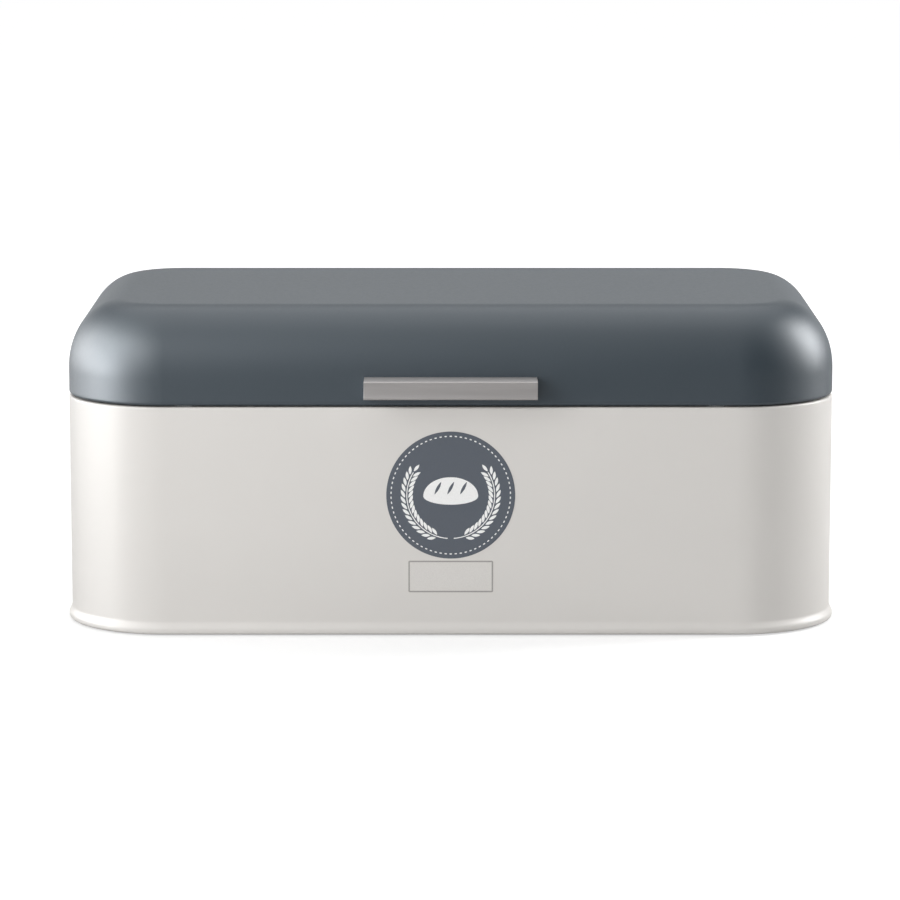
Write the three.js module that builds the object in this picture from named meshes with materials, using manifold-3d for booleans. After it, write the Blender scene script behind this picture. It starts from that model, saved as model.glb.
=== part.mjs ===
// Bread box: a sheet steel box with rounded corners and a lid on two hinges at the back.
// Millimetres. +X is to the right, +Y to the back, +Z up. The front faces -Y.

import * as THREE from 'three';
import { mergeVertices } from 'three/addons/utils/BufferGeometryUtils.js';
import Module from 'manifold-3d';

// The box as a whole, measured over its walls
const boxLength = 425;
const boxDepth = 225;
const cornerRadius = 55.5;
const sheet = 0.8;

// Space between pieces that don't lie flat on each other, and how far a cutter runs past a wall
const clearance = 0.3;
const overrun = 1;

// Body wall: a rim turned in at the top, and a bead at the bottom whose edge turns in under the pan
const rimHeight = 127;
const rimCurl = 1.2;
const rimReach = 7;
const beadTop = 8;
const beadFlare = 4.5;
const beadProud = 1.8;
const beadCurl = 1.8;
const baseReach = 8;

// Base pan: its edge lies on the wall's turned-in edge, and its floor is raised
const panRise = 4;
const panEdge = 8.5;
const panSlope = 3;

// Rubber feet, which hold the bead off the table
const footLift = 0.8;
const footRadius = 8;
const footChamfer = 0.6;
const footSetback = 50;

// Lid: an upright skirt with a turned-in edge, and a crown that rounds over to a flat top
const seamGap = 0.8;
const lidSkirt = 14.2;
const lidCurl = 1.6;
const lidReach = 7;
const crownInset = 31;
const crownDrop = 38;

// Clear buffers on the rim, which fill the seam gap
const bufferLength = 10;
const bufferWidth = 3.6;
const bufferCorner = 1.5;
const bufferSetback = 67.5;

// Handle: a hooked aluminium section, screwed on from inside the lid
const handleLength = 94;
const handleReach = 18.5;
const handleHeight = 9.9;
const handleLift = 6;
const handleTopPlate = 2;
const handleApron = 1.9;
const handleScoop = 0.7;
const handleRidge = 0.5;
const handleLip = 0.5;
const handleFillet = 1.5;
const handleFlange = 4;
const handleFlangeEdge = 1.5;

// Handle screws and washers
const screwSpread = 64;
const screwRadius = 2;
const screwBite = 3;
const screwHeadRadius = 3.8;
const screwHeadHeight = 2.4;
const screwHeadRim = 1.2;
const washerRadius = 4.5;
const washerThickness = 0.8;

// Hinges: two leaves rolled round a pin, with lugs on the body's knuckles that stop the lid
const hingeSpread = 210;
const leafLength = 40;
const leafThickness = 1;
const leafCorner = 2;
const boreRadius = 1.5;
const lidKnuckleLength = 14;
const lugReach = 5;
const lidStopDegrees = 100;
const pinHeadRadius = 2.2;
const pinHeadThickness = 0.8;

// Rivets that hold the leaves
const rivetSpread = 24;
const rivetRadius = 1.5;
const rivetHeadRadius = 3;
const rivetHeadHeight = 1;
const rivetHeadRim = 0.5;
const rivetTailRadius = 2.4;
const rivetTailHeight = 0.8;

// Printed disc and blank name plate on the front
const discRadius = 35.2;
const discHeight = 78.5;
const plateLength = 46.4;
const plateHeight = 17.6;
const plateCorner = 0.8;
const plateGap = 1.2;
const labelThickness = 0.2;

// Places that follow from the sizes above
const front = -boxDepth / 2;
const back = boxDepth / 2;
const seatHeight = footLift + sheet;
const floorUnderside = seatHeight + panRise;
const lidEdge = rimHeight + seamGap;
const crownStart = lidEdge + lidSkirt;
const handleTop = lidEdge + handleLift + handleHeight;
const screwHeight = lidEdge + (lidCurl + lidSkirt) / 2;
const screwHole = screwRadius + clearance;
const knuckleRadius = boreRadius + leafThickness;
const pinRadius = boreRadius - clearance;
const hingeAxisY = back + knuckleRadius;
const hingeAxisZ = rimHeight + seamGap / 2;
const leafStart = knuckleRadius + clearance;
const leafHeight = crownStart - hingeAxisZ;
const rivetRise = (leafStart + leafHeight) / 2;
const rivetHole = rivetRadius + clearance;

// The origin is the middle of the whole box, handle and hinges included, on the table
const placeY = (handleReach - (knuckleRadius + lugReach)) / 2;

// Numbers of steps in curves
const cornerSteps = 8;
const crownSteps = 8;
const bendSteps = 3;
const flareSteps = 3;
const scoopSteps = 6;
const roundSides = 16;
const rivetSides = 10;
const discSides = 48;

const quarterTurn = Math.PI / 2;

const offWhitePaint = { color: 0xe0ddd9, roughness: 0.42, metalness: 0 };
const slatePaint = { color: 0x596068, roughness: 0.38, metalness: 0 };
const brushedAluminium = { color: 0xa9a6a4, roughness: 0.4, metalness: 1 };
const zincPlatedSteel = { color: 0xb9bbbd, roughness: 0.35, metalness: 1 };
const darkRubber = { color: 0x2b2b2d, roughness: 0.85, metalness: 0 };
const clearSilicone = { color: 0xdfe3e4, roughness: 0.3, metalness: 0 };
const slatePrint = { color: 0x5b616a, roughness: 0.55, metalness: 0 };
const paleLabel = { color: 0xe2e0dd, roughness: 0.4, metalness: 0 };

const wasm = await Module();
wasm.setup();

const breadBox = new THREE.Group();
breadBox.position.y = placeY;

function addPiece(name, geometry, finish) {
  const mesh = new THREE.Mesh(geometry, new THREE.MeshStandardMaterial(finish));
  mesh.name = name;
  breadBox.add(mesh);
  return mesh;
}

// Joining and cutting

function toSolid(geometry) {
  const bare = new THREE.BufferGeometry();
  bare.setAttribute('position', geometry.attributes.position.clone());
  bare.setIndex(geometry.index);
  const merged = mergeVertices(bare);
  return new wasm.Manifold(new wasm.Mesh({
    numProp: 3,
    vertProperties: merged.attributes.position.array,
    triVerts: new Uint32Array(merged.index.array),
  }));
}

function toGeometry(solid) {
  const mesh = solid.getMesh();
  const geometry = new THREE.BufferGeometry();
  geometry.setAttribute('position', new THREE.BufferAttribute(new Float32Array(mesh.vertProperties), 3));
  geometry.setIndex(new THREE.BufferAttribute(new Uint32Array(mesh.triVerts), 1));
  geometry.computeVertexNormals();
  return geometry;
}

function cut(geometry, cutters) {
  let solid = toSolid(geometry);
  for (const cutter of cutters) {
    solid = solid.subtract(toSolid(cutter));
  }
  return toGeometry(solid);
}

function join(geometries) {
  let solid = toSolid(geometries[0]);
  for (const geometry of geometries.slice(1)) {
    solid = solid.add(toSolid(geometry));
  }
  return toGeometry(solid);
}

// A round cutter along Y, from one depth to another
function drill(radius, x, z, fromY, toY) {
  const bit = new THREE.CylinderGeometry(radius, radius, toY - fromY, roundSides);
  return bit.translate(x, (fromY + toY) / 2, z);
}

// Turning flat outlines into pieces

function extrude(outline, depth) {
  return new THREE.ExtrudeGeometry(outline, { depth, bevelEnabled: false });
}

// An outline drawn in X and Z, made into a plate that reaches from y = 0 towards the front
function facingFront(outline, thickness) {
  return extrude(outline, thickness).rotateX(quarterTurn);
}

// A section drawn in Y and Z, made into a bar along X and centred there
function alongX(outline, length) {
  const bar = extrude(outline, length).translate(0, 0, -length / 2);
  return bar.rotateY(quarterTurn).rotateX(quarterTurn);
}

// A turned piece whose profile gives radius and height, with its axis along Z
function turned(profile, sides) {
  const points = profile.map(([radius, height]) => new THREE.Vector2(radius, height));
  return new THREE.LatheGeometry(points, sides).rotateX(quarterTurn);
}

// Part of an ellipse as points, between two counts of quarter turns
function ellipseArc(x, y, radiusX, radiusY, start, end, steps) {
  const curve = new THREE.EllipseCurve(
    x, y, radiusX, radiusY, start * quarterTurn, end * quarterTurn, end < start,
  );
  return curve.getPoints(steps);
}

function bend(x, y, radius, start, end) {
  return ellipseArc(x, y, radius, radius, start, end, bendSteps);
}

function circle(x, y, radius) {
  return ellipseArc(x, y, radius, radius, 0, 4, roundSides).slice(0, roundSides);
}

function roundedRectangle(length, height, radius) {
  const x = length / 2 - radius;
  const y = height / 2 - radius;
  return new THREE.Shape([
    ...bend(x, y, radius, 0, 1),
    ...bend(-x, y, radius, 1, 2),
    ...bend(-x, -y, radius, 2, 3),
    ...bend(x, -y, radius, 3, 4),
  ]);
}

// Shells whose section runs round the plan of the box.
// A section point's x is its distance outside the wall's outer face, and its y is its height.

function planRing(outward) {
  const radius = Math.max(cornerRadius + outward, sheet);
  const centreX = boxLength / 2 + outward - radius;
  const centreY = boxDepth / 2 + outward - radius;
  const ring = [];
  for (const [corner, signX, signY] of [[0, 1, 1], [1, -1, 1], [2, -1, -1], [3, 1, -1]]) {
    for (let step = 0; step <= cornerSteps; step += 1) {
      const angle = (corner + step / cornerSteps) * quarterTurn;
      ring.push([signX * centreX + radius * Math.cos(angle), signY * centreY + radius * Math.sin(angle)]);
    }
  }
  return ring;
}

// A section that runs round and meets itself gives a ring. One that starts and ends inside the plan
// is filled there with a flat top face and a flat under face.
function sweepRoundPlan(section, filled) {
  const rings = section.map((point) => planRing(point.x));
  const count = rings[0].length;
  const positions = [];
  rings.forEach((ring, level) => {
    ring.forEach(([x, y]) => positions.push(x, y, section[level].y));
  });
  const indices = [];
  const seams = filled ? section.length - 1 : section.length;
  for (let level = 0; level < seams; level += 1) {
    const upper = level * count;
    const lower = ((level + 1) % section.length) * count;
    for (let place = 0; place < count; place += 1) {
      const next = (place + 1) % count;
      indices.push(lower + place, lower + next, upper + next);
      indices.push(lower + place, upper + next, upper + place);
    }
  }
  if (filled) {
    const topCentre = positions.length / 3;
    const underCentre = topCentre + 1;
    const last = (section.length - 1) * count;
    positions.push(0, 0, section[0].y, 0, 0, section[section.length - 1].y);
    for (let place = 0; place < count; place += 1) {
      const next = (place + 1) % count;
      indices.push(topCentre, place, next);
      indices.push(underCentre, last + next, last + place);
    }
  }
  const geometry = new THREE.BufferGeometry();
  geometry.setAttribute('position', new THREE.Float32BufferAttribute(positions, 3));
  geometry.setIndex(indices);
  geometry.computeVertexNormals();
  return geometry;
}

// The bead's flare: a smooth step outwards, on the wall's outer or inner face
function flare(shift, upwards) {
  const points = [];
  for (let step = 0; step <= flareSteps; step += 1) {
    const share = upwards ? 1 - step / flareSteps : step / flareSteps;
    const outward = beadProud * (1 - Math.cos(share * Math.PI)) / 2;
    points.push(new THREE.Vector2(outward + shift, beadTop - beadFlare * share));
  }
  return points;
}

function bodyWallSection() {
  const beadX = beadProud - beadCurl;
  const beadY = footLift + beadCurl;
  return [
    new THREE.Vector2(-rimReach, rimHeight),
    ...bend(-rimCurl, rimHeight - rimCurl, rimCurl, 1, 0),
    ...flare(0, false),
    ...bend(beadX, beadY, beadCurl, 0, -1),
    new THREE.Vector2(-baseReach, footLift),
    new THREE.Vector2(-baseReach, seatHeight),
    ...bend(beadX, beadY, beadCurl - sheet, -1, 0),
    ...flare(-sheet, true),
    ...bend(-rimCurl, rimHeight - rimCurl, rimCurl - sheet, 0, 1),
    new THREE.Vector2(-rimReach, rimHeight - sheet),
  ];
}

function basePanSection() {
  const edge = -(sheet + clearance);
  const slopeEnd = -(panEdge + panSlope);
  return [
    new THREE.Vector2(slopeEnd, floorUnderside + sheet),
    new THREE.Vector2(-panEdge, seatHeight + sheet),
    new THREE.Vector2(edge, seatHeight + sheet),
    new THREE.Vector2(edge, seatHeight),
    new THREE.Vector2(-panEdge, seatHeight),
    new THREE.Vector2(slopeEnd, floorUnderside),
  ];
}

function lidSection() {
  return [
    ...ellipseArc(-crownInset, crownStart, crownInset, crownDrop, 1, 0, crownSteps),
    ...bend(-lidCurl, lidEdge + lidCurl, lidCurl, 0, -1),
    new THREE.Vector2(-lidReach, lidEdge),
    new THREE.Vector2(-lidReach, lidEdge + sheet),
    ...bend(-lidCurl, lidEdge + lidCurl, lidCurl - sheet, -1, 0),
    ...ellipseArc(-crownInset, crownStart, crownInset - sheet, crownDrop - sheet, 0, 1, crownSteps),
  ];
}

// Where the rivets and the handle's screws go through the walls

function rivetPlaces(direction) {
  const places = [];
  for (const [sideName, side] of [['left', -1], ['right', 1]]) {
    for (const [endName, end] of [['outer', 1], ['inner', -1]]) {
      const x = side * (hingeSpread + end * rivetSpread) / 2;
      places.push({ name: `${sideName}_${endName}`, x, z: hingeAxisZ + direction * rivetRise });
    }
  }
  return places;
}

function rearHoles(direction) {
  return rivetPlaces(direction).map(({ x, z }) => (
    drill(rivetHole, x, z, back - sheet - overrun, back + overrun)
  ));
}

const screwPlaces = [['left', -screwSpread / 2], ['right', screwSpread / 2]];

function frontHoles() {
  return screwPlaces.map(([, x]) => (
    drill(screwHole, x, screwHeight, front - overrun, front + sheet + overrun)
  ));
}

function addBody() {
  const wall = sweepRoundPlan(bodyWallSection(), false);
  addPiece('body_wall', cut(wall, rearHoles(-1)), offWhitePaint);
  addPiece('base_pan', sweepRoundPlan(basePanSection(), true), offWhitePaint);
}

function addLid() {
  const shell = sweepRoundPlan(lidSection(), true);
  addPiece('lid_shell', cut(shell, [...rearHoles(1), ...frontHoles()]), slatePaint);
}

// Four feet under the raised floor, and four buffers on the front and back rims

const cornerPlaces = [
  ['front_left', -1, -1], ['front_right', 1, -1], ['back_left', -1, 1], ['back_right', 1, 1],
];

function addFeet() {
  const profile = [
    [0, 0],
    [footRadius - footChamfer, 0],
    [footRadius, footChamfer],
    [footRadius, floorUnderside],
    [0, floorUnderside],
  ];
  for (const [name, signX, signY] of cornerPlaces) {
    const foot = addPiece(`foot_${name}`, turned(profile, roundSides), darkRubber);
    foot.position.x = signX * (boxLength / 2 - footSetback);
    foot.position.y = signY * (boxDepth / 2 - footSetback);
  }
}

function addBuffers() {
  const outline = roundedRectangle(bufferLength, bufferWidth, bufferWidth / 2);
  for (const [name, signX, signY] of cornerPlaces) {
    const buffer = addPiece(`buffer_${name}`, extrude(outline, seamGap), clearSilicone);
    buffer.position.x = signX * (boxLength / 2 - bufferSetback);
    buffer.position.y = signY * (boxDepth - lidCurl - lidReach) / 2;
    buffer.position.z = rimHeight;
  }
}

// The handle's section: x is the distance in front of the lid, y the height below the handle's top
function handleSection() {
  const inner = handleReach - handleApron;
  const ceiling = -handleTopPlate;
  const flangeEnd = screwHeight - screwHole - handleFlangeEdge - handleTop;
  const scoop = new THREE.QuadraticBezierCurve(
    new THREE.Vector2(handleReach, handleLip - handleHeight),
    new THREE.Vector2(handleReach - 2 * handleScoop, -handleHeight / 2),
    new THREE.Vector2(handleReach, -handleRidge),
  );
  return new THREE.Shape([
    new THREE.Vector2(0, 0),
    new THREE.Vector2(0, flangeEnd),
    new THREE.Vector2(handleFlange, flangeEnd),
    ...bend(handleFlange + handleFillet, ceiling - handleFillet, handleFillet, 2, 1),
    ...bend(inner - handleFillet, ceiling - handleFillet, handleFillet, 1, 0),
    new THREE.Vector2(inner, -handleHeight),
    new THREE.Vector2(handleReach - handleLip, -handleHeight),
    ...scoop.getPoints(scoopSteps).slice(0, scoopSteps),
    ...bend(handleReach - handleRidge, -handleRidge, handleRidge, 0, 1),
  ]);
}

function addHandle() {
  const bar = alongX(handleSection(), handleLength).rotateZ(2 * quarterTurn);
  const holes = screwPlaces.map(([, x]) => (
    drill(screwHole, x, screwHeight - handleTop, -screwBite - clearance, overrun)
  ));
  const handle = addPiece('handle_pull', cut(bar, holes), brushedAluminium);
  handle.position.set(0, front, handleTop);
}

function addScrews() {
  const headStart = sheet + washerThickness;
  const profile = [
    [0, -screwBite],
    [screwRadius, -screwBite],
    [screwRadius, headStart],
    [screwHeadRadius, headStart],
    [screwHeadRadius, headStart + screwHeadRim],
    [screwHeadRadius - screwHeadRim, headStart + screwHeadHeight],
    [0, headStart + screwHeadHeight],
  ];
  const ring = new THREE.Shape(circle(0, 0, washerRadius));
  ring.holes.push(new THREE.Path(circle(0, 0, screwHole)));
  for (const [name, x] of screwPlaces) {
    const screw = turned(profile, roundSides).rotateX(-quarterTurn);
    addPiece(`handle_screw_${name}`, screw, zincPlatedSteel).position.set(x, front, screwHeight);
    const washer = facingFront(ring, washerThickness);
    addPiece(`handle_washer_${name}`, washer, zincPlatedSteel).position.set(x, front + headStart, screwHeight);
  }
}

// Hinges, drawn about the pin's axis: z = 0 is the seam, and the wall is at y = -knuckleRadius

function leafPlate() {
  const height = leafHeight - leafStart;
  const outline = roundedRectangle(leafLength, height, leafCorner);
  for (const side of [-1, 1]) {
    outline.holes.push(new THREE.Path(circle(side * rivetSpread / 2, 0, rivetHole)));
  }
  const plate = facingFront(outline, leafThickness);
  return plate.translate(0, leafThickness - knuckleRadius, leafStart + height / 2);
}

// One knuckle: a tube round the pin whose sheet runs up into the plate
function knuckle(length, x) {
  const inner = leafThickness - knuckleRadius;
  const joinHeight = leafStart + leafCorner;
  const wrapEnd = Math.acos(inner / knuckleRadius) / quarterTurn;
  const section = new THREE.Shape([
    new THREE.Vector2(-knuckleRadius, joinHeight),
    ...ellipseArc(0, 0, knuckleRadius, knuckleRadius, -2, wrapEnd, roundSides),
    new THREE.Vector2(inner, joinHeight),
  ]);
  section.holes.push(new THREE.Path(circle(0, 0, boreRadius)));
  return alongX(section, length).translate(x, 0, 0);
}

const bodyKnuckleLength = (leafLength - lidKnuckleLength) / 2 - clearance;
const bodyKnuckleX = (leafLength - bodyKnuckleLength) / 2;

// A lug's top stays clear of the lid leaf's outer face when the lid is fully open
function stopLug(x) {
  const stop = THREE.MathUtils.degToRad(lidStopDegrees);
  const leafFace = knuckleRadius - leafThickness - clearance;
  const top = (leafFace + lugReach * Math.cos(stop)) / Math.sin(stop);
  const root = knuckleRadius - leafThickness / 2;
  const lug = new THREE.BoxGeometry(bodyKnuckleLength, lugReach - root, leafThickness);
  return lug.translate(x, (lugReach + root) / 2, top - leafThickness / 2);
}

function lidLeaf() {
  return join([leafPlate(), knuckle(lidKnuckleLength, 0)]);
}

function bodyLeaf() {
  const ends = [-bodyKnuckleX, bodyKnuckleX];
  const sheets = [leafPlate(), ...ends.map((x) => knuckle(bodyKnuckleLength, x))];
  const turnedDown = sheets.map((geometry) => geometry.rotateY(2 * quarterTurn));
  return join([...turnedDown, ...ends.map((x) => stopLug(x))]);
}

function hingePin() {
  const neck = leafLength / 2 + clearance;
  const end = neck + pinHeadThickness;
  const profile = [
    [0, -end],
    [pinHeadRadius, -end],
    [pinHeadRadius, -neck],
    [pinRadius, -neck],
    [pinRadius, neck],
    [pinHeadRadius, neck],
    [pinHeadRadius, end],
    [0, end],
  ];
  return turned(profile, roundSides).rotateY(quarterTurn);
}

function addHinges() {
  for (const [side, x] of [['left', -hingeSpread / 2], ['right', hingeSpread / 2]]) {
    const pieces = [['body_leaf', bodyLeaf()], ['lid_leaf', lidLeaf()], ['pin', hingePin()]];
    for (const [name, geometry] of pieces) {
      const piece = addPiece(`hinge_${side}_${name}`, geometry, zincPlatedSteel);
      piece.position.set(x, hingeAxisY, hingeAxisZ);
    }
  }
}

// A rivet runs through a leaf and the wall behind it, and is drawn from the wall's outer face
function addRivets() {
  const headEnd = leafThickness + rivetHeadHeight;
  const tailEnd = -sheet - rivetTailHeight;
  const profile = [
    [0, tailEnd],
    [rivetTailRadius - rivetHeadRim, tailEnd],
    [rivetTailRadius, -sheet - rivetHeadRim],
    [rivetTailRadius, -sheet],
    [rivetRadius, -sheet],
    [rivetRadius, leafThickness],
    [rivetHeadRadius, leafThickness],
    [rivetHeadRadius - rivetHeadRim, leafThickness + rivetHeadRim],
    [0, headEnd],
  ];
  for (const [owner, direction] of [['body', -1], ['lid', 1]]) {
    for (const { name, x, z } of rivetPlaces(direction)) {
      const rivet = turned(profile, rivetSides).rotateX(-quarterTurn);
      addPiece(`rivet_${owner}_${name}`, rivet, zincPlatedSteel).position.set(x, back, z);
    }
  }
}

function addLabels() {
  const disc = new THREE.CylinderGeometry(discRadius, discRadius, labelThickness, discSides);
  addPiece('front_disc', disc, slatePrint).position.set(0, front - labelThickness / 2, discHeight);
  const plate = facingFront(roundedRectangle(plateLength, plateHeight, plateCorner), labelThickness);
  const plateZ = discHeight - discRadius - plateGap - plateHeight / 2;
  addPiece('name_plate', plate, paleLabel).position.set(0, front, plateZ);
}

addBody();
addLid();
addFeet();
addBuffers();
addHandle();
addScrews();
addHinges();
addRivets();
addLabels();

export default breadBox;
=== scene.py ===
# The looks of a sheet steel bread box with a hinged lid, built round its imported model.
# Metres, in the model's own frame: +X to the right, +Y to the back, +Z up. The front faces -Y.
import math

import bmesh
import bpy
from mathutils import Matrix, Vector


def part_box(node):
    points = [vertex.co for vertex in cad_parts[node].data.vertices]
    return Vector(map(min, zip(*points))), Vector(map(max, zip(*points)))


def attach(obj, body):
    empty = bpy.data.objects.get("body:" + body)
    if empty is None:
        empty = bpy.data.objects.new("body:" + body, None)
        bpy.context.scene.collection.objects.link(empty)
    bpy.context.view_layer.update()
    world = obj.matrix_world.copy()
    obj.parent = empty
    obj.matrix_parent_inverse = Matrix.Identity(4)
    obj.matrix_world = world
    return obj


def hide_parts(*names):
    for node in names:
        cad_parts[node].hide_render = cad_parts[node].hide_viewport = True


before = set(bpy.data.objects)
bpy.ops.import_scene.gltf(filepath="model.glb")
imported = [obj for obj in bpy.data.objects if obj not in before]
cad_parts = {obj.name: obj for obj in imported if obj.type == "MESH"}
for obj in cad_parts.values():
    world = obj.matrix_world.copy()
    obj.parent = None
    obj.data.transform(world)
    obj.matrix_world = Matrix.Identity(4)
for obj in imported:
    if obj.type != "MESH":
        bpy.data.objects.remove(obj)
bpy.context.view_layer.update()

MM = 0.001
QUARTER_TURN = math.pi / 2
FULL_TURN = 2 * math.pi

# The frame's boxes give the overall sizes
wall_low, wall_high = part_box("body_wall")
lid_low, lid_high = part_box("lid_shell")
pan_low, pan_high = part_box("base_pan")
handle_low, handle_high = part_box("handle_pull")
disc_low, disc_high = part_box("front_disc")
plate_low, plate_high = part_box("name_plate")

plan_middle = Vector((0, (lid_low.y + lid_high.y) / 2, 0))
half_length = (lid_high.x - lid_low.x) / 2
half_depth = (lid_high.y - lid_low.y) / 2
bead_proud = (wall_high.x - wall_low.x) / 2 - half_length
disc_radius = (disc_high.x - disc_low.x) / 2

# Sheet metal sizes
CORNER_RADIUS = 55.5 * MM
SHEET = 0.8 * MM
CLEARANCE = 0.3 * MM
RIM_CURL = 1.2 * MM
RIM_REACH = 7 * MM
BEAD_TOP = 8 * MM
BEAD_FLARE = 4.5 * MM
BEAD_CURL = 1.8 * MM
BASE_REACH = 8 * MM
PAN_EDGE = 8.5 * MM
PAN_SLOPE = 3 * MM
LID_CURL = 1.6 * MM
LID_REACH = 7 * MM
CROWN_INSET = 31 * MM
CROWN_DROP = 38 * MM

# Steps in curves
CORNER_STEPS = 28
CROWN_STEPS = 28
BEND_STEPS = 8
FLARE_STEPS = 10
EDGE_STEPS = 2

# A narrow strip keeps a long flat face flat beside a bend
GUARD = 0.4 * MM
LONG_STRETCH = 6 * GUARD

# Points closer than this are one, edges sharper than this are sharp, and faces flatter than this are one
MERGE = 0.001 * MM
SHARP_ANGLE = math.radians(40)
FLAT_ANGLE = math.radians(1)


# Materials

# The middle values of a noise pattern, which are spread over the values that a finish needs
NOISE_LOW = 0.3
NOISE_HIGH = 0.7
METAL_DETAIL = 3
RELIEF_DEPTH = 0.02 * MM

PEEL_GRAIN = 1.6 * MM
GRIT_GRAIN = 0.35 * MM
MOTTLE_GRAIN = 45 * MM
PEEL_RELIEF = 0.08
PEEL_GLOSS = 0.02

LINE_RELIEF = 0.25
LINE_TONES = (0.93, 1.05)
LINE_GLOSS = 0.06

CLOUD_GRAIN = 3 * MM
CLOUD_TONES = (0.9, 1.04)
CLOUD_ROUGHNESSES = (0.26, 0.4)

MOULDED_RELIEF = 0.15
MOULDED_TONES = (0.97, 1.03)
MOULDED_INDEX = 1.45


def linear(hex_colour):
    """An sRGB hex value as linear red, green, blue and alpha, by the standard's own curve."""
    shares = [int(hex_colour[start:start + 2], 16) / 255 for start in (0, 2, 4)]
    return tuple(s / 12.92 if s <= 0.04045 else ((s + 0.055) / 1.055) ** 2.4 for s in shares) + (1,)


def add_node(tree, kind, inputs=None, **settings):
    """Adds a node with its settings. Its inputs are filled with values or linked to other nodes' outputs."""
    made = tree.nodes.new(kind)
    for name, value in settings.items():
        setattr(made, name, value)
    for name, value in (inputs or {}).items():
        if isinstance(value, bpy.types.NodeSocket):
            tree.links.new(value, made.inputs[name])
        else:
            made.inputs[name].default_value = value
    return made


def start_material(name):
    """A material whose only node so far gives the piece's own coordinates."""
    material = bpy.data.materials.new(name)
    material.use_nodes = True
    tree = material.node_tree
    tree.nodes.clear()
    return material, tree, add_node(tree, "ShaderNodeTexCoord").outputs["Object"]


def finish_surface(tree, colour, patterns, relief=None, **settings):
    """Adds the shader and the output. Each pattern comes with the two values it is spread over, for the
    colour's tone or for the shader's input of that name. The relief is a pattern and its strength, and the
    settings are plain values of the shader's inputs."""
    spreads = {
        use: add_node(
            tree, "ShaderNodeMapRange",
            {
                "Value": pattern, "From Min": NOISE_LOW, "From Max": NOISE_HIGH,
                "To Min": low, "To Max": high,
            },
        ).outputs["Result"]
        for use, (pattern, low, high) in patterns.items()
    }
    toned = add_node(
        tree, "ShaderNodeHueSaturation", {"Color": linear(colour), "Value": spreads.pop("tone")},
    )
    inputs = {"Base Color": toned.outputs["Color"], **spreads, **settings}
    if relief:
        height, strength = relief
        bump = add_node(
            tree, "ShaderNodeBump", {"Height": height, "Strength": strength, "Distance": RELIEF_DEPTH},
        )
        inputs["Normal"] = bump.outputs["Normal"]
    shader = add_node(tree, "ShaderNodeBsdfPrincipled", inputs)
    add_node(tree, "ShaderNodeOutputMaterial", {"Surface": shader.outputs[0]})


def powder_coat(name, colour, roughness, unevenness, metallic=0.0, index=1.5):
    """Polyester powder coat baked on steel: satin, with a faint orange peel and hardly any change of tone."""
    material, tree, place = start_material(name)
    peel, grit, mottle = [
        add_node(tree, "ShaderNodeTexNoise", {"Vector": place, "Scale": 1 / grain}).outputs["Fac"]
        for grain in (PEEL_GRAIN, GRIT_GRAIN, MOTTLE_GRAIN)
    ]
    relief = add_node(tree, "ShaderNodeMath", {0: peel, 1: grit}, operation="ADD").outputs[0]
    patterns = {
        "tone": (mottle, 1 - unevenness, 1 + unevenness),
        "Roughness": (peel, roughness - PEEL_GLOSS, roughness + PEEL_GLOSS),
    }
    finish_surface(tree, colour, patterns, (relief, PEEL_RELIEF), Metallic=metallic, IOR=index)
    return material


def brushed_metal(name, colour, roughness, line_width, line_length):
    """Brushed and anodised aluminium: long fine lines, with the gloss drawn out across them."""
    material, tree, place = start_material(name)
    drawn_out = add_node(
        tree, "ShaderNodeMapping", {"Vector": place, "Scale": (line_width / line_length, 1, 1)},
    ).outputs["Vector"]
    lines = add_node(
        tree, "ShaderNodeTexNoise",
        {"Vector": drawn_out, "Scale": 1 / line_width, "Detail": METAL_DETAIL},
    ).outputs["Fac"]
    patterns = {
        "tone": (lines, *LINE_TONES),
        "Roughness": (lines, roughness - LINE_GLOSS, roughness + LINE_GLOSS),
    }
    finish_surface(tree, colour, patterns, (lines, LINE_RELIEF), Metallic=1)
    return material


def zinc_plate(name, colour):
    """Bright zinc on pressed steel: fairly smooth, with the soft cloudiness of the plating bath."""
    material, tree, place = start_material(name)
    cloud = add_node(
        tree, "ShaderNodeTexNoise",
        {"Vector": place, "Scale": 1 / CLOUD_GRAIN, "Detail": METAL_DETAIL},
    ).outputs["Fac"]
    patterns = {"tone": (cloud, *CLOUD_TONES), "Roughness": (cloud, *CLOUD_ROUGHNESSES)}
    finish_surface(tree, colour, patterns, Metallic=1)
    return material


def moulded(name, colour, roughness, grain, alpha=1.0):
    """Moulded rubber or silicone, or a printed film: even in colour, with a fine grain."""
    material, tree, place = start_material(name)
    texture = add_node(tree, "ShaderNodeTexNoise", {"Vector": place, "Scale": 1 / grain}).outputs["Fac"]
    finish_surface(
        tree, colour, {"tone": (texture, *MOULDED_TONES)}, (texture, MOULDED_RELIEF),
        Roughness=roughness, IOR=MOULDED_INDEX, Alpha=alpha,
    )
    return material


slate_powder_coat = powder_coat(
    "slate_powder_coat", "293741", roughness=0.5, unevenness=0.012, metallic=0.2, index=1.9,
)
off_white_powder_coat = powder_coat("off_white_powder_coat", "DFDCD8", roughness=0.45, unevenness=0.008)
brushed_aluminium = brushed_metal(
    "brushed_aluminium", "BCB9B8", roughness=0.5, line_width=0.12 * MM, line_length=30 * MM,
)
bright_zinc = zinc_plate("bright_zinc", "BFC1C3")
black_rubber = moulded("black_rubber", "2B2B2D", roughness=0.75, grain=0.4 * MM)
clear_silicone = moulded("clear_silicone", "EEF1F2", roughness=0.25, grain=2 * MM, alpha=0.25)
slate_ink = moulded("slate_ink", "5B616A", roughness=0.5, grain=0.5 * MM)
white_ink = moulded("white_ink", "FBFBFA", roughness=0.5, grain=0.5 * MM)
label_film = moulded("label_film", "DFDCD8", roughness=0.4, grain=0.6 * MM)
grey_ink = moulded("grey_ink", "A5A29E", roughness=0.5, grain=0.5 * MM)


# From a bmesh to a finished piece

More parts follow.
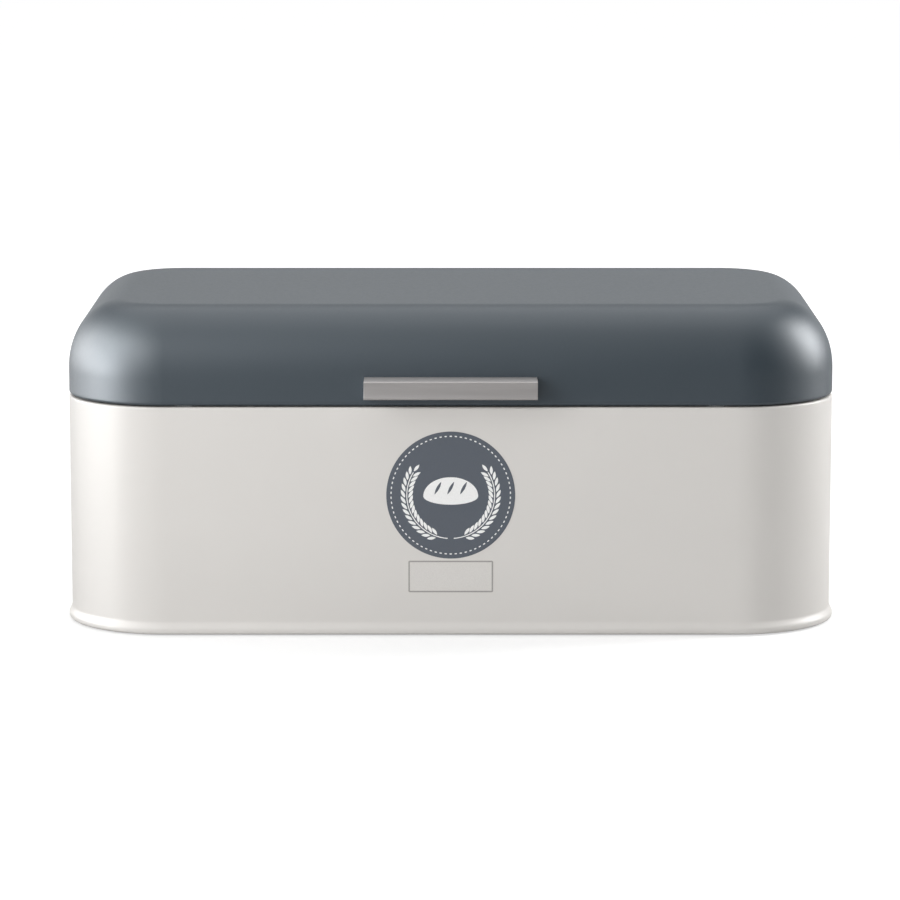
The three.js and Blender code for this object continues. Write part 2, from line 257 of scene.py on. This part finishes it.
def add_object(mesh, name, material):
    """Puts a bmesh into the scene as an object of one material."""
    data = bpy.data.meshes.new(name)
    mesh.to_mesh(data)
    mesh.free()
    data.materials.append(material)
    made = bpy.data.objects.new(name, data)
    bpy.context.scene.collection.objects.link(made)
    return made


def finish_piece(mesh, name, body, material, nodes=()):
    """Makes a bmesh into a smooth-shaded piece that rides on a body and stands for CAD nodes."""
    piece = add_object(mesh, name, material)
    piece.data.shade_smooth()
    piece.data.set_sharp_from_angle(angle=SHARP_ANGLE)
    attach(piece, body)
    if nodes:
        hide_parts(*nodes)
    return piece


def keep_flats_flat(piece):
    """Lets the larger faces set the normals, so that they shade flat beside their rounded edges."""
    weighted = piece.modifiers.new("weighted_normals", "WEIGHTED_NORMAL")
    weighted.keep_sharp = True


def only_verts(geometry):
    return [item for item in geometry if isinstance(item, bmesh.types.BMVert)]


def only_edges(geometry):
    return [item for item in geometry if isinstance(item, bmesh.types.BMEdge)]


def turn_outwards(mesh):
    bmesh.ops.remove_doubles(mesh, verts=mesh.verts, dist=MERGE)
    bmesh.ops.recalc_face_normals(mesh, faces=mesh.faces)


def close_holes(mesh):
    bmesh.ops.holes_fill(mesh, edges=[edge for edge in mesh.edges if edge.is_boundary], sides=0)


def pull_out(mesh, faces, step):
    """Extrudes faces and moves the new ones by a step."""
    pulled = bmesh.ops.extrude_face_region(mesh, geom=faces)
    bmesh.ops.translate(mesh, verts=only_verts(pulled["geom"]), vec=step)


# Sections: a point's first number is its distance outside the wall's outer face, its second its height

def arc(x, z, radius_x, radius_z, start, end, steps):
    """Part of an ellipse as points, between two counts of quarter turns."""
    angles = [(start + (end - start) * step / steps) * QUARTER_TURN for step in range(steps + 1)]
    return [(x + radius_x * math.cos(angle), z + radius_z * math.sin(angle)) for angle in angles]


def bend(x, z, radius, start, end):
    return arc(x, z, radius, radius, start, end, BEND_STEPS)


def flare(shift, upwards):
    """The bead's flare: a smooth step outwards, on the wall's outer or inner face."""
    shares = [step / FLARE_STEPS for step in range(FLARE_STEPS + 1)]
    if upwards:
        shares.reverse()
    return [
        (bead_proud * (1 - math.cos(share * math.pi)) / 2 + shift, BEAD_TOP - BEAD_FLARE * share)
        for share in shares
    ]


def guarded(section):
    """The section with a point close to each end of its long straight stretches."""
    points = [Vector(section[0])]
    for here, there in zip(section, section[1:]):
        start, end = Vector(here), Vector(there)
        length = (end - start).length
        if length > LONG_STRETCH:
            along = (end - start) / length * GUARD
            points += [start + along, end - along]
        points.append(end)
    return points


def body_wall_section():
    rim = wall_high.z
    base = wall_low.z
    bead_x = bead_proud - BEAD_CURL
    bead_z = base + BEAD_CURL
    return [
        (-RIM_REACH, rim),
        *bend(-RIM_CURL, rim - RIM_CURL, RIM_CURL, 1, 0),
        *flare(0, False),
        *bend(bead_x, bead_z, BEAD_CURL, 0, -1),
        (-BASE_REACH, base),
        (-BASE_REACH, base + SHEET),
        *bend(bead_x, bead_z, BEAD_CURL - SHEET, -1, 0),
        *flare(-SHEET, True),
        *bend(-RIM_CURL, rim - RIM_CURL, RIM_CURL - SHEET, 0, 1),
        (-RIM_REACH, rim - SHEET),
        (-RIM_REACH, rim),
    ]


def base_pan_section():
    edge = -(SHEET + CLEARANCE)
    slope_end = -(PAN_EDGE + PAN_SLOPE)
    return [
        (-CORNER_RADIUS, pan_high.z),
        (slope_end, pan_high.z),
        (-PAN_EDGE, pan_low.z + SHEET),
        (edge, pan_low.z + SHEET),
        (edge, pan_low.z),
        (-PAN_EDGE, pan_low.z),
        (slope_end, pan_high.z - SHEET),
        (-CORNER_RADIUS, pan_high.z - SHEET),
    ]


def lid_section():
    edge = lid_low.z
    top = lid_high.z
    crown = top - CROWN_DROP
    curl_z = edge + LID_CURL
    return [
        (-CORNER_RADIUS, top),
        *arc(-CROWN_INSET, crown, CROWN_INSET, CROWN_DROP, 1, 0, CROWN_STEPS),
        *bend(-LID_CURL, curl_z, LID_CURL, 0, -1),
        (-LID_REACH, edge),
        (-LID_REACH, edge + SHEET),
        *bend(-LID_CURL, curl_z, LID_CURL - SHEET, -1, 0),
        *arc(-CROWN_INSET, crown, CROWN_INSET - SHEET, CROWN_DROP - SHEET, 0, 1, CROWN_STEPS),
        (-CORNER_RADIUS, top - SHEET),
    ]


def plan_shell(section, filled):
    """A shell whose section runs round the plan. A quarter is spun and pulled out, then mirrored twice."""
    mesh = bmesh.new()
    turning = Vector((half_length - CORNER_RADIUS, half_depth - CORNER_RADIUS, 0))
    profile = [
        mesh.verts.new((turning.x + CORNER_RADIUS + point.x, turning.y, point.y))
        for point in guarded(section)
    ]
    edges = [mesh.edges.new(pair) for pair in zip(profile, profile[1:])]
    corner = bmesh.ops.spin(
        mesh, geom=profile + edges, cent=turning, axis=(0, 0, 1), angle=QUARTER_TURN, steps=CORNER_STEPS,
    )
    stretches = [
        (edges, Vector((0, -GUARD, 0)), Vector((0, GUARD - turning.y, 0))),
        (only_edges(corner["geom_last"]), Vector((-GUARD, 0, 0)), Vector((GUARD - turning.x, 0, 0))),
    ]
    for ends, guard_step, rest_step in stretches:
        for step in (guard_step, rest_step):
            pulled = bmesh.ops.extrude_edge_only(mesh, edges=ends)
            bmesh.ops.translate(mesh, verts=only_verts(pulled["geom"]), vec=step)
            ends = only_edges(pulled["geom"])
    for axis in ("X", "Y"):
        everything = mesh.verts[:] + mesh.edges[:] + mesh.faces[:]
        bmesh.ops.mirror(mesh, geom=everything, matrix=Matrix(), merge_dist=MERGE, axis=axis)
    bmesh.ops.remove_doubles(mesh, verts=mesh.verts, dist=MERGE)
    if filled:
        close_holes(mesh)
    bmesh.ops.translate(mesh, verts=mesh.verts, vec=plan_middle)
    turn_outwards(mesh)
    return mesh


# Flat outlines made into bars and thin plates

def prism(outline, start, step):
    """A flat outline of points, placed at start, made solid along step."""
    mesh = bmesh.new()
    face = mesh.faces.new([mesh.verts.new(start + point) for point in outline])
    pull_out(mesh, [face], step)
    bmesh.ops.recalc_face_normals(mesh, faces=mesh.faces)
    return mesh


def soften(mesh, width):
    """Rounds every sharp edge."""
    sharp = [
        edge for edge in mesh.edges
        if len(edge.link_faces) == 2 and edge.calc_face_angle(0) > SHARP_ANGLE
    ]
    bmesh.ops.bevel(
        mesh, geom=sharp, offset=width, offset_type="OFFSET", segments=EDGE_STEPS, profile=0.5,
        affect="EDGES", material=-1, clamp_overlap=True,
    )


def rounded_outline(low, high, radius, y):
    """A rectangle in X and Z with round corners, as points at one depth."""
    points = []
    for x, z, start in (
        (high.x - radius, high.z - radius, 0),
        (low.x + radius, high.z - radius, 1),
        (low.x + radius, low.z + radius, 2),
        (high.x - radius, low.z + radius, 3),
    ):
        points += bend(x, z, radius, start, start + 1)
    return [Vector((x, y, z)) for x, z in points]


# Shells

def make_body_wall():
    wall = plan_shell(body_wall_section(), False)
    finish_piece(wall, "body_wall_painted", "box", off_white_powder_coat, ["body_wall"])


def make_base_pan():
    pan = plan_shell(base_pan_section(), True)
    finish_piece(pan, "base_pan_painted", "box", off_white_powder_coat, ["base_pan"])


def make_lid():
    lid = plan_shell(lid_section(), True)
    finish_piece(lid, "lid_painted", "lid", slate_powder_coat, ["lid_shell"])


# Handle: the hooked section, with its scooped front and fine edges

HANDLE_TOP_PLATE = 2 * MM
HANDLE_APRON = 1.9 * MM
HANDLE_SCOOP = 0.7 * MM
HANDLE_RIDGE = 0.5 * MM
HANDLE_LIP = 0.5 * MM
HANDLE_FILLET = 1.5 * MM
HANDLE_FLANGE = 4 * MM
HANDLE_HEIGHT = 9.9 * MM
HANDLE_EDGE = 0.25 * MM
SCOOP_STEPS = 16


def handle_section():
    """The handle's outline: distance in front of the lid, and height counted up from the handle's top."""
    reach = handle_high.y - handle_low.y
    inner = reach - HANDLE_APRON
    ceiling = -HANDLE_TOP_PLATE
    flange_end = handle_low.z - handle_high.z
    front_start = HANDLE_LIP - HANDLE_HEIGHT
    front_end = -HANDLE_RIDGE
    scoop = []
    for step in range(1, SCOOP_STEPS):
        share = step / SCOOP_STEPS
        # A parabola, zero at both ends and as deep as the scoop in its middle
        depth = HANDLE_SCOOP * 4 * share * (1 - share)
        scoop.append((reach - depth, front_start + (front_end - front_start) * share))
    return [
        (0, 0),
        (0, flange_end),
        (HANDLE_FLANGE, flange_end),
        *bend(HANDLE_FLANGE + HANDLE_FILLET, ceiling - HANDLE_FILLET, HANDLE_FILLET, 2, 1),
        *bend(inner - HANDLE_FILLET, ceiling - HANDLE_FILLET, HANDLE_FILLET, 1, 0),
        (inner, -HANDLE_HEIGHT),
        (reach - HANDLE_LIP, -HANDLE_HEIGHT),
        (reach, front_start),
        *scoop,
        *bend(reach - HANDLE_RIDGE, -HANDLE_RIDGE, HANDLE_RIDGE, 0, 1),
    ]


def make_handle():
    outline = [Vector((0, -out, up)) for out, up in handle_section()]
    start = Vector((handle_low.x, handle_high.y, handle_high.z))
    mesh = prism(outline, start, Vector((handle_high.x - handle_low.x, 0, 0)))
    soften(mesh, HANDLE_EDGE)
    handle = finish_piece(
        mesh, "handle_brushed", "lid", brushed_aluminium, ["handle_pull"],
    )
    keep_flats_flat(handle)


# Printed disc: a ring of dashes round a loaf between two ears of wheat

INK = 0.05 * MM
DISC_SIDES = 128

DASH_COUNT = 74
DASH_LENGTH = 1.25 * MM
DASH_WIDTH = 0.6 * MM
DASH_CORNER = DASH_WIDTH / 4
DASH_RING_SHARE = 0.927

LOAF_SIDES = 64
LOAF_LENGTH = 30 * MM
LOAF_HEIGHT = 21 * MM
LOAF_BASE_SHARE = 0.45
LOAF_RISE = -0.5 * MM

SLASH_COUNT = 3
SLASH_GAP = 7 * MM
SLASH_LENGTH = 8 * MM
SLASH_WIDTH = 1.6 * MM
SLASH_TURN = math.radians(62)
SLASH_RISE = 4 * MM

EAR_RADIUS = 24 * MM
EAR_WIDTH = 0.5 * MM
EAR_START = math.radians(4)
EAR_END = math.radians(122)
EAR_STEPS = 32

GRAIN_COUNT = 14
GRAIN_START = math.radians(24)
GRAIN_LENGTH = 4.9 * MM
GRAIN_WIDTH = 1.7 * MM
GRAIN_SPREAD = 2.1 * MM
GRAIN_TURN = math.radians(30)
GRAIN_SIDES = 16
TIP_SHARE = 0.6


def printed_on(mesh, face_y):
    """Turns flat artwork, drawn facing up about the disc's centre, into ink on the front face."""
    centre = (disc_low + disc_high) / 2
    bmesh.ops.recalc_face_normals(mesh, faces=mesh.faces)
    bmesh.ops.rotate(mesh, verts=mesh.verts, cent=(0, 0, 0), matrix=Matrix.Rotation(QUARTER_TURN, 3, "X"))
    bmesh.ops.translate(mesh, verts=mesh.verts, vec=(centre.x, face_y, centre.z))
    pull_out(mesh, mesh.faces[:], (0, -INK, 0))
    bmesh.ops.recalc_face_normals(mesh, faces=mesh.faces)
    return mesh


def draw_lens(mesh, length, width, turn, place):
    """A leaf shape with a point at each end."""
    drawn = bmesh.ops.create_circle(mesh, cap_ends=True, segments=GRAIN_SIDES, radius=1)["verts"]
    for point in drawn:
        point.co.y *= math.sqrt(max(0, 1 - point.co.x ** 2))
    bmesh.ops.scale(mesh, verts=drawn, vec=(length / 2, width / 2, 1))
    bmesh.ops.rotate(mesh, verts=drawn, cent=(0, 0, 0), matrix=Matrix.Rotation(turn, 3, "Z"))
    bmesh.ops.translate(mesh, verts=drawn, vec=place)


def draw_ear(mesh, side):
    """A stem that curves up round one side of the disc, with pairs of grains and one at its tip."""
    foot = [mesh.verts.new((0, -EAR_RADIUS + across, 0)) for across in (-EAR_WIDTH / 2, EAR_WIDTH / 2)]
    bmesh.ops.rotate(mesh, verts=foot, cent=(0, 0, 0), matrix=Matrix.Rotation(side * EAR_START, 3, "Z"))
    bmesh.ops.spin(
        mesh, geom=foot + [mesh.edges.new(foot)], cent=(0, 0, 0), axis=(0, 0, 1),
        angle=side * (EAR_END - EAR_START), steps=EAR_STEPS,
    )
    for index in range(GRAIN_COUNT):
        angle = GRAIN_START + (EAR_END - GRAIN_START) * index / (GRAIN_COUNT - 1)
        for across in (-1, 1):
            reach = EAR_RADIUS + across * GRAIN_SPREAD
            place = Vector((side * math.sin(angle), -math.cos(angle), 0)) * reach
            turn = side * (angle - across * GRAIN_TURN)
            draw_lens(mesh, GRAIN_LENGTH, GRAIN_WIDTH, turn, place)
    tip = EAR_END + GRAIN_LENGTH * TIP_SHARE / EAR_RADIUS
    place = Vector((side * math.sin(tip), -math.cos(tip), 0)) * EAR_RADIUS
    draw_lens(mesh, GRAIN_LENGTH, GRAIN_WIDTH, side * tip, place)


def make_disc():
    """The disc is drawn as thick as the ink, then stretched to its own thickness."""
    disc = bmesh.new()
    bmesh.ops.create_circle(disc, cap_ends=True, segments=DISC_SIDES, radius=disc_radius)
    printed_on(disc, disc_high.y)
    stretch = (disc_high.y - disc_low.y) / INK
    bmesh.ops.scale(
        disc, verts=disc.verts, vec=(1, stretch, 1), space=Matrix.Translation((0, -disc_high.y, 0)),
    )
    finish_piece(disc, "front_disc_print", "box", slate_ink, ["front_disc"])


def make_dashes():
    dashes = bmesh.new()
    half = Vector((DASH_LENGTH / 2, 0, DASH_WIDTH / 2))
    outline = rounded_outline(-half, half, DASH_CORNER, 0)
    ring = disc_radius * DASH_RING_SHARE
    dash = dashes.faces.new([dashes.verts.new((point.x, ring + point.z, 0)) for point in outline])
    bmesh.ops.spin(
        dashes, geom=[dash], cent=(0, 0, 0), axis=(0, 0, 1), use_duplicate=True,
        angle=FULL_TURN * (DASH_COUNT - 1) / DASH_COUNT, steps=DASH_COUNT - 1,
    )
    finish_piece(printed_on(dashes, disc_low.y), "front_disc_dashes", "box", white_ink)


def make_ears():
    ears = bmesh.new()
    for side in (-1, 1):
        draw_ear(ears, side)
    finish_piece(printed_on(ears, disc_low.y), "front_disc_ears", "box", white_ink)


def make_loaf():
    """A circle whose lower half is pressed flatter, drawn out to the loaf's length and height."""
    loaf = bmesh.new()
    drawn = bmesh.ops.create_circle(loaf, cap_ends=True, segments=LOAF_SIDES, radius=1)["verts"]
    for point in drawn:
        if point.co.y < 0:
            point.co.y *= LOAF_BASE_SHARE
    bmesh.ops.scale(loaf, verts=drawn, vec=(LOAF_LENGTH / 2, LOAF_HEIGHT / 2, 1))
    bmesh.ops.translate(loaf, verts=drawn, vec=(0, LOAF_RISE, 0))
    finish_piece(printed_on(loaf, disc_low.y), "front_disc_loaf", "box", white_ink)


def make_slashes():
    """The loaf's slashes are printed on top of its ink."""
    slashes = bmesh.new()
    for index in range(SLASH_COUNT):
        shift = SLASH_GAP * (index - (SLASH_COUNT - 1) / 2)
        draw_lens(slashes, SLASH_LENGTH, SLASH_WIDTH, SLASH_TURN, (shift, SLASH_RISE, 0))
    finish_piece(
        printed_on(slashes, disc_low.y - INK), "front_disc_slashes", "box", slate_ink,
    )


# Name plate: a pale film with a thin printed border

PLATE_CORNER = 0.8 * MM
PLATE_BORDER = 0.8 * MM


def make_plate_film():
    film = prism(
        rounded_outline(plate_low, plate_high, PLATE_CORNER, 0), Vector((0, plate_high.y, 0)),
        Vector((0, plate_low.y - plate_high.y, 0)),
    )
    finish_piece(film, "name_plate_film", "box", label_film, ["name_plate"])


def make_plate_border():
    border = bmesh.new()
    outline = rounded_outline(plate_low, plate_high, PLATE_CORNER, plate_low.y)
    middle = border.faces.new([border.verts.new(point) for point in outline])
    bmesh.ops.recalc_face_normals(border, faces=[middle])
    bmesh.ops.inset_region(border, faces=[middle], thickness=PLATE_BORDER, use_boundary=True)
    bmesh.ops.delete(border, geom=[middle], context="FACES")
    pull_out(border, border.faces[:], (0, -INK, 0))
    bmesh.ops.recalc_face_normals(border, faces=border.faces)
    finish_piece(border, "name_plate_border", "box", grey_ink)


# Fasteners and feet, turned about their own axes

TURNED_STEPS = 32
DOME_STEPS = 6
SCREW_RADIUS = 2 * MM
SCREW_HEAD_RADIUS = 3.8 * MM
SCREW_HEAD_HEIGHT = 2.4 * MM
SCREW_HEAD_RIM = 1.2 * MM
CROSS_WIDTH = 0.9 * MM
CROSS_LENGTH = 3.6 * MM
CROSS_DEPTH = 1.3 * MM
RIVET_RADIUS = 1.5 * MM
RIVET_HEAD_RADIUS = 3 * MM
RIVET_HEAD_HEIGHT = 1 * MM
RIVET_TAIL_RADIUS = 2.4 * MM
RIVET_TAIL_HEIGHT = 0.8 * MM
FOOT_ROUND = 0.6 * MM


def body_of(node):
    """The body that a small piece belongs to."""
    return "lid" if "lid" in node or node.startswith("handle") else "box"


def turned(profile, centre, axis):
    """A profile of radius and distance along the axis, spun full circle about the axis through centre."""
    mesh = bmesh.new()
    along = Vector(axis)
    middle = centre - along * centre.dot(along)
    points = [mesh.verts.new(middle + Vector((radius, 0, 0)) + along * place) for radius, place in profile]
    edges = [mesh.edges.new(pair) for pair in zip(points, points[1:])]
    bmesh.ops.spin(
        mesh, geom=points + edges, cent=middle, axis=along, angle=FULL_TURN, steps=TURNED_STEPS,
        use_merge=True,
    )
    turn_outwards(mesh)
    return mesh


def cut_cross(mesh, centre, top):
    """Presses a cross into a flat head that faces the back."""
    for normal, middle in ((Vector((1, 0, 0)), centre.x), (Vector((0, 0, 1)), centre.z)):
        for reach in (-CROSS_LENGTH, -CROSS_WIDTH, CROSS_WIDTH, CROSS_LENGTH):
            head = [face for face in mesh.faces if face.calc_center_median().y > top - MERGE]
            geometry = head + [edge for face in head for edge in face.edges]
            geometry += [vert for face in head for vert in face.verts]
            bmesh.ops.bisect_plane(
                mesh, geom=list(set(geometry)), plane_co=normal * (middle + reach / 2), plane_no=normal,
            )
    cross = []
    for face in mesh.faces:
        place = face.calc_center_median() - centre
        arms = sorted((abs(place.x), abs(place.z)))
        if place.y > top - centre.y - MERGE and arms[0] < CROSS_WIDTH / 2 and arms[1] < CROSS_LENGTH / 2:
            cross.append(face)
    pull_out(mesh, cross, (0, -CROSS_DEPTH, 0))
    bmesh.ops.delete(mesh, geom=cross, context="FACES_ONLY")
    bmesh.ops.recalc_face_normals(mesh, faces=mesh.faces)


def make_screw(node):
    low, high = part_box(node)
    centre = (low + high) / 2
    under = high.y - SCREW_HEAD_HEIGHT
    profile = [
        (0, low.y),
        (SCREW_RADIUS, low.y),
        (SCREW_RADIUS, under),
        (SCREW_HEAD_RADIUS, under),
        *arc(
            SCREW_HEAD_RADIUS - SCREW_HEAD_RIM, high.y - SCREW_HEAD_RIM, SCREW_HEAD_RIM, SCREW_HEAD_RIM,
            0, 1, DOME_STEPS,
        ),
    ]
    screw = turned(profile, centre, (0, 1, 0))
    close_holes(screw)
    cut_cross(screw, centre, high.y)
    finish_piece(screw, node + "_pressed", body_of(node), bright_zinc, [node])


def make_rivet(node):
    low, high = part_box(node)
    head = high.y - RIVET_HEAD_HEIGHT
    tail = low.y + RIVET_TAIL_HEIGHT
    profile = [
        *arc(0, tail, RIVET_TAIL_RADIUS, -RIVET_TAIL_HEIGHT, 1, 0, DOME_STEPS),
        (RIVET_RADIUS, tail),
        (RIVET_RADIUS, head),
        *arc(0, head, RIVET_HEAD_RADIUS, RIVET_HEAD_HEIGHT, 0, 1, DOME_STEPS),
    ]
    rivet = turned(profile, (low + high) / 2, (0, 1, 0))
    finish_piece(rivet, node + "_set", body_of(node), bright_zinc, [node])


def make_foot(node):
    low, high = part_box(node)
    radius = (high.x - low.x) / 2
    profile = [
        (0, low.z),
        *arc(radius - FOOT_ROUND, low.z + FOOT_ROUND, FOOT_ROUND, FOOT_ROUND, -1, 0, DOME_STEPS),
        (radius, high.z),
        (0, high.z),
    ]
    foot = turned(profile, (low + high) / 2, (0, 0, 1))
    finish_piece(foot, node + "_moulded", body_of(node), black_rubber, [node])


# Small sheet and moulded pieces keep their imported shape, with their edges rounded

SHEET_EDGE = 0.12 * MM
SOFT_EDGE = 0.3 * MM


def edge_piece(node, ending, width, material):
    """A node's shape, joined up from its loose triangles, with its edges rounded."""
    mesh = bmesh.new()
    mesh.from_mesh(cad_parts[node].data)
    bmesh.ops.remove_doubles(mesh, verts=mesh.verts, dist=MERGE)
    bmesh.ops.dissolve_limit(mesh, angle_limit=FLAT_ANGLE, verts=mesh.verts, edges=mesh.edges)
    soften(mesh, width)
    bmesh.ops.recalc_face_normals(mesh, faces=mesh.faces)
    keep_flats_flat(finish_piece(mesh, node + ending, body_of(node), material, [node]))


def make_washer(node):
    edge_piece(node, "_stamped", SHEET_EDGE, bright_zinc)


def make_hinge_part(node):
    edge_piece(node, "_rolled", SHEET_EDGE, bright_zinc)


def make_buffer(node):
    edge_piece(node, "_moulded", SOFT_EDGE, clear_silicone)


# How each small piece is made, by how its node's name starts
SMALL_PIECES = {
    "rivet": make_rivet,
    "foot": make_foot,
    "handle_screw": make_screw,
    "handle_washer": make_washer,
    "hinge": make_hinge_part,
    "buffer": make_buffer,
}


def make_small_pieces():
    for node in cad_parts:
        for start, make_piece in SMALL_PIECES.items():
            if node.startswith(start):
                make_piece(node)


make_body_wall()
make_base_pan()
make_lid()
make_handle()
make_disc()
make_dashes()
make_ears()
make_loaf()
make_slashes()
make_plate_film()
make_plate_border()
make_small_pieces()


# Floor, lights and camera

# The floor glows less near the box, so that the box's shadow shows on it, and is plain white further off
FLOOR_REACH = 20
FLOOR_GREY = 0.5
FLOOR_GLOW = 0.62
BACKDROP_GLOW = 1.0
GLOW_NEAR = 450 * MM
GLOW_FAR = 1300 * MM
GLOSS_SHARE = 0.15
WHITE = (1, 1, 1, 1)

# Softboxes: the way to each from the box, its distance, width and height in metres, and its power in watts
SOFTBOXES = {
    "back_softbox": ((0.0, 1.0, 0.19), 2.6, 3.0, 0.5, 7.4),
    "back_left_softbox": ((-0.88, 0.45, 0.12), 1.4, 0.8, 0.5, 5.6),
    "top_softbox": ((0.0, 0.0, 1.0), 1.6, 1.6, 1.2, 8.4),
    "top_back_softbox": ((0.0, 0.60, 0.80), 1.6, 1.6, 0.6, 6.4),
    "top_front_softbox": ((0.0, -0.60, 0.80), 1.6, 1.6, 0.6, 1.8),
    "high_left_softbox": ((-0.78, 0.05, 0.62), 1.3, 0.5, 0.5, 1.4),
    "near_left_softbox": ((-0.55, -0.65, 0.38), 1.1, 0.5, 0.5, 3.0),
    "right_softbox": ((0.94, 0.19, 0.36), 1.2, 0.3, 0.7, 11.9),
}

# A wide fill beside and behind the camera, which lights the walls but doesn't show in any gloss
FRONT_FILL = ((-0.35, -1.0, 0.16), 2.2, 2.0, 0.9, 23)

# Cards that show in gloss only
SHEEN_CARDS = {
    "left_card": ((-0.97, 0.05, 0.25), 1.3, 0.8, 0.8, 14.4),
    "low_left_card": ((-0.95, -0.25, -0.01), 1.3, 0.9, 0.22, 9.7),
    "tall_left_card": ((-0.87, -0.40, 0.28), 1.2, 0.25, 1.0, 8.0),
    "high_left_card": ((-0.78, 0.05, 0.62), 1.3, 0.5, 0.5, 4.2),
    "near_left_card": ((-0.50, -0.65, 0.60), 1.2, 0.6, 0.5, 1.2),
    "front_card": ((-0.15, -0.85, 0.50), 1.8, 1.6, 0.5, 1.2),
    "top_front_card": ((0.0, -0.60, 0.80), 1.6, 1.6, 0.6, 3.2),
    "right_card": ((0.94, 0.17, 0.36), 1.2, 0.3, 0.7, 3.8),
}

# The camera, fitted to the photograph: its place is measured from the lid's front and from the floor
SENSOR_WIDTH = 36
LENS_LENGTH = 161.1
CAMERA_SHIFT = -0.4 * MM
CAMERA_DISTANCE = 2166 * MM
CAMERA_HEIGHT = 464.2 * MM
CAMERA_DIP = 0.165


def backdrop_strength(tree, straight):
    """How bright the backdrop looks: seen straight or through clear parts, and at a share of it in gloss."""
    path = add_node(tree, "ShaderNodeLightPath")
    gloss = add_node(
        tree, "ShaderNodeMath", {0: path.outputs["Is Glossy Ray"], 1: GLOSS_SHARE}, operation="MULTIPLY",
    )
    clear = add_node(
        tree, "ShaderNodeMath",
        {0: path.outputs["Is Transmission Ray"], 1: gloss.outputs[0]}, operation="ADD",
    )
    seen = add_node(
        tree, "ShaderNodeMath", {0: path.outputs["Is Camera Ray"], 1: clear.outputs[0]}, operation="ADD",
    )
    scaled = add_node(tree, "ShaderNodeMath", {0: seen.outputs[0], 1: straight}, operation="MULTIPLY")
    return scaled.outputs[0]


def pale_floor():
    """A matt grey floor whose glow grows to white away from the box."""
    material, tree, place = start_material("pale_floor")
    base = add_node(tree, "ShaderNodeBsdfDiffuse", {"Color": (FLOOR_GREY, FLOOR_GREY, FLOOR_GREY, 1)})
    away = add_node(tree, "ShaderNodeVectorMath", {0: place}, operation="LENGTH").outputs["Value"]
    glow = add_node(
        tree, "ShaderNodeMapRange",
        {
            "Value": away, "From Min": GLOW_NEAR, "From Max": GLOW_FAR,
            "To Min": FLOOR_GLOW, "To Max": BACKDROP_GLOW,
        },
    ).outputs["Result"]
    light = add_node(
        tree, "ShaderNodeEmission", {"Color": WHITE, "Strength": backdrop_strength(tree, glow)},
    )
    both = add_node(tree, "ShaderNodeAddShader", {0: base.outputs[0], 1: light.outputs[0]})
    add_node(tree, "ShaderNodeOutputMaterial", {"Surface": both.outputs[0]})
    return material


def make_floor():
    mesh = bmesh.new()
    bmesh.ops.create_grid(mesh, x_segments=1, y_segments=1, size=FLOOR_REACH)
    add_object(mesh, "floor", pale_floor())


def make_world():
    world = bpy.data.worlds.new("studio")
    world.use_nodes = True
    tree = world.node_tree
    tree.nodes.clear()
    strength = backdrop_strength(tree, BACKDROP_GLOW)
    back = add_node(tree, "ShaderNodeBackground", {"Color": WHITE, "Strength": strength})
    add_node(tree, "ShaderNodeOutputWorld", {"Surface": back.outputs[0]})
    bpy.context.scene.world = world


def add_softbox(name, direction, distance, width, height, power):
    """A rectangular lamp that faces the top of the box's walls from one direction."""
    lamp = bpy.data.lights.new(name, "AREA")
    lamp.shape = "RECTANGLE"
    lamp.size = width
    lamp.size_y = height
    lamp.energy = power
    away = Vector(direction).normalized()
    softbox = bpy.data.objects.new(name, lamp)
    softbox.location = plan_middle + Vector((0, 0, wall_high.z)) + away * distance
    softbox.rotation_euler = away.to_track_quat("Z", "Y").to_euler()
    bpy.context.scene.collection.objects.link(softbox)
    return softbox


def make_lights():
    for name, placing in SOFTBOXES.items():
        add_softbox(name, *placing)
    add_softbox("front_fill", *FRONT_FILL).visible_glossy = False
    for name, placing in SHEEN_CARDS.items():
        add_softbox(name, *placing).visible_diffuse = False


def make_camera():
    lens = bpy.data.cameras.new("camera")
    lens.sensor_width = SENSOR_WIDTH
    lens.lens = LENS_LENGTH
    camera = bpy.data.objects.new("camera", lens)
    camera.location = (CAMERA_SHIFT, lid_low.y - CAMERA_DISTANCE, CAMERA_HEIGHT)
    camera.rotation_euler = (QUARTER_TURN - CAMERA_DIP, 0, 0)
    bpy.context.scene.collection.objects.link(camera)
    bpy.context.scene.camera = camera


make_floor()
make_world()
make_lights()
make_camera()
bpy.context.scene.view_settings.view_transform = "Standard"
